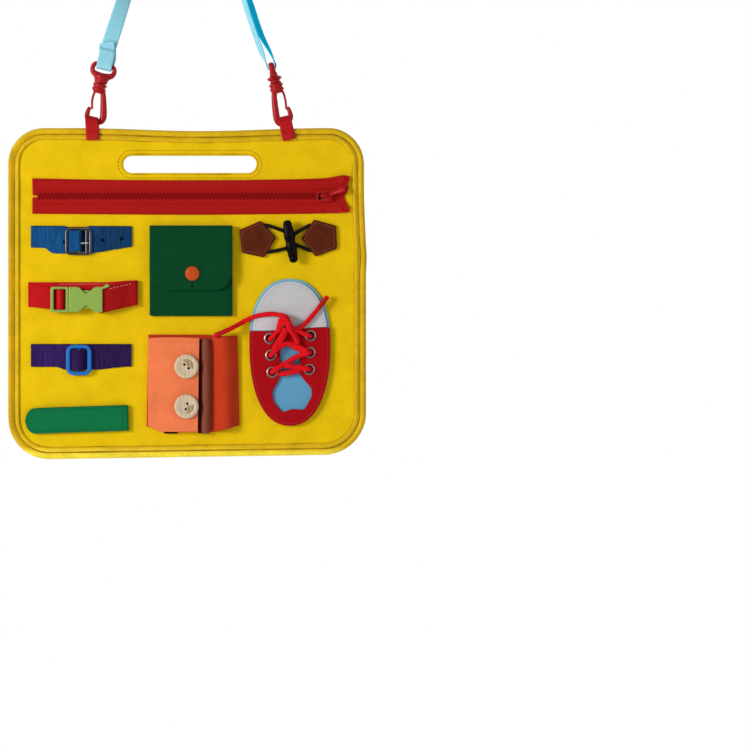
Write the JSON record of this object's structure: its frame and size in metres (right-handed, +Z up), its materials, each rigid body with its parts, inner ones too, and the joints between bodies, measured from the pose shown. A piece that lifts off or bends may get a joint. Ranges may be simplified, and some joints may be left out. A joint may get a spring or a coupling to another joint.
{
  "type": "dressing-skills busy board with shoulder strap",
  "caption": "Flat felt busy board with a webbing shoulder strap on snap hooks and working fastenings on its front for practising zips, buckles, snaps, buttons and laces.",
  "frame": {"origin": "where the underside of the shoulder strap hangs over its peg, in the middle of the board's thickness", "axes": "+Z up, +X to the viewer's right, the front with its fastenings faces -Y"},
  "size_m": [0.3, 0.0294, 0.5086],
  "materials": {
    "yellow_felt": "matt",
    "pale_yellow_felt": "matt",
    "core": "matt",
    "red_webbing": "matt",
    "red_plastic": "satin",
    "sky_webbing": "matt",
    "blue_webbing": "matt",
    "steel": "satin",
    "green_plastic": "satin",
    "purple_webbing": "matt",
    "blue_plastic": "gloss",
    "green_webbing": "matt",
    "green_felt": "matt",
    "orange_plastic": "gloss",
    "brown_leather": "matt",
    "black_cord": "matt",
    "black_plastic": "satin",
    "orange_felt": "matt",
    "rust_felt": "matt",
    "wood": "matt",
    "blue_felt": "matt",
    "grey_felt": "matt",
    "red_felt": "matt",
    "red_lace": "matt"
  },
  "bodies": {
    "board": {"core_board": "core", "front_panel": "yellow_felt", "back_panel": "pale_yellow_felt", "edge_binding": "yellow_felt", "loop_left": "red_webbing", "loop_right": "red_webbing", "hook_left_eye": "red_plastic", "hook_right_eye": "red_plastic", "shoulder_strap": "sky_webbing", "strap_adjuster": "red_plastic", "zipper_tape": "red_webbing", "zipper_teeth": "red_plastic", "blue_belt": "blue_webbing", "red_strap": "red_webbing", "clip_body": "green_plastic", "purple_strap": "purple_webbing", "green_strap_loop_pad": "green_webbing", "pocket_back": "green_felt", "pocket_front": "green_felt", "snap_stud": "orange_plastic", "leather_patch_left": "brown_leather", "leather_patch_right": "brown_leather", "toggle_cord_left": "black_cord", "toggle_cord_right": "black_cord", "pouch_panel": "rust_felt", "placket_strip": "brown_leather", "shoe_base": "blue_felt", "toe_cap": "grey_felt", "shoe_upper": "red_felt", "lace_rung_lower": "red_lace", "lace_rung_middle": "red_lace", "lace_tie": "red_lace", "eyelet_left_1": "steel", "eyelet_left_2": "steel", "eyelet_left_3": "steel", "eyelet_right_1": "steel", "eyelet_right_2": "steel", "eyelet_right_3": "steel"},
    "hook_left": {"hook_left": "red_plastic"},
    "gate_left": {"hook_left_gate": "red_plastic"},
    "hook_right": {"hook_right": "red_plastic"},
    "gate_right": {"hook_right_gate": "red_plastic"},
    "slider": {"zipper_slider": "red_plastic"},
    "pull": {"zipper_pull": "red_plastic"},
    "buckle": {"belt_buckle": "steel"},
    "prong": {"buckle_prong": "steel"},
    "plug": {"clip_plug": "green_plastic", "red_strap_end": "red_webbing"},
    "arm_upper": {"clip_arm_upper": "green_plastic"},
    "arm_lower": {"clip_arm_lower": "green_plastic"},
    "strap_slide": {"strap_slide": "blue_plastic", "purple_strap_turn": "purple_webbing"},
    "green_flap": {"green_strap": "green_webbing", "green_strap_hook_pad": "green_webbing"},
    "pocket_flap": {"pocket_flap": "green_felt", "snap_cap": "orange_plastic"},
    "toggle": {"toggle_bar": "black_plastic"},
    "pouch_flap": {"pouch_flap": "orange_felt", "wood_button_upper": "wood", "wood_button_lower": "wood"}
  },
  "joints": [
    {"name": "hook_left_swivel", "type": "hinge", "parent": "board", "child": "hook_left", "pos_m": [-0.0728, 0, -0.1942], "axis": [0.225, 0, 0.9744], "range_deg": [-10, 10]},
    {"name": "gate_left_open", "type": "hinge", "parent": "hook_left", "child": "gate_left", "pos_m": [-0.07831, 0, -0.20205], "axis": [0, -1, 0], "range_deg": [0, 14], "stiffness_Nm_per_rad": 0.02},
    {"name": "hook_right_swivel", "type": "hinge", "parent": "board", "child": "hook_right", "pos_m": [0.0743, 0, -0.1942], "axis": [-0.225, 0, 0.9744], "range_deg": [-10, 10]},
    {"name": "gate_right_open", "type": "hinge", "parent": "hook_right", "child": "gate_right", "pos_m": [0.07981, 0, -0.20205], "axis": [0, 1, 0], "range_deg": [0, 14], "stiffness_Nm_per_rad": 0.02},
    {"name": "zipper_slide", "type": "slide", "parent": "board", "child": "slider", "axis": [1, 0, 0], "range_m": [-0.229, 0]},
    {"name": "zipper_pull_flip", "type": "hinge", "parent": "slider", "child": "pull", "pos_m": [0.115, -0.01019, -0.2888], "axis": [0.342, 0, -0.9397], "range_deg": [0, 160]},
    {"name": "buckle_lift", "type": "hinge", "parent": "board", "child": "buckle", "pos_m": [-0.0808, -0.0072, -0.3269], "axis": [0, 0, 1], "range_deg": [0, 18]},
    {"name": "prong_follow", "type": "hinge", "parent": "buckle", "child": "prong", "pos_m": [-0.0843, -0.0072, -0.32827], "axis": [0, 0, 1], "range_deg": [-18, 0]},
    {"name": "plug_pull_out", "type": "slide", "parent": "board", "child": "plug", "axis": [1, 0, 0], "range_m": [-0.012, 0]},
    {"name": "arm_upper_squeeze", "type": "hinge", "parent": "plug", "child": "arm_upper", "pos_m": [-0.0988, -0.0099, -0.3688], "axis": [0, 1, 0], "range_deg": [0, 6], "stiffness_Nm_per_rad": 0.05},
    {"name": "arm_lower_squeeze", "type": "hinge", "parent": "plug", "child": "arm_lower", "pos_m": [-0.0988, -0.0099, -0.3822], "axis": [0, -1, 0], "range_deg": [0, 6], "stiffness_Nm_per_rad": 0.05},
    {"name": "strap_slide_move", "type": "slide", "parent": "board", "child": "strap_slide", "axis": [1, 0, 0], "range_m": [-0.022, 0.028]},
    {"name": "green_strap_open", "type": "hinge", "parent": "board", "child": "green_flap", "pos_m": [-0.05095, -0.00655, -0.47467], "axis": [-0.0332, 0, 0.9994], "range_deg": [0, 85]},
    {"name": "pocket_flap_open", "type": "hinge", "parent": "board", "child": "pocket_flap", "pos_m": [0.0035, -0.00795, -0.31675], "axis": [-1, 0, 0], "range_deg": [0, 130]},
    {"name": "toggle_turn", "type": "hinge", "parent": "board", "child": "toggle", "pos_m": [0.0868, -0.01094, -0.3269], "axis": [0, 1, 0], "range_deg": [-75, 75]},
    {"name": "pouch_flap_open", "type": "hinge", "parent": "board", "child": "pouch_flap", "pos_m": [-0.033, -0.00705, -0.44715], "axis": [0, 0, -1], "range_deg": [0, 85]}
  ],
  "couplings": [
    {"joint": "prong_follow", "follows": "buckle_lift", "ratio": -1}
  ]
}
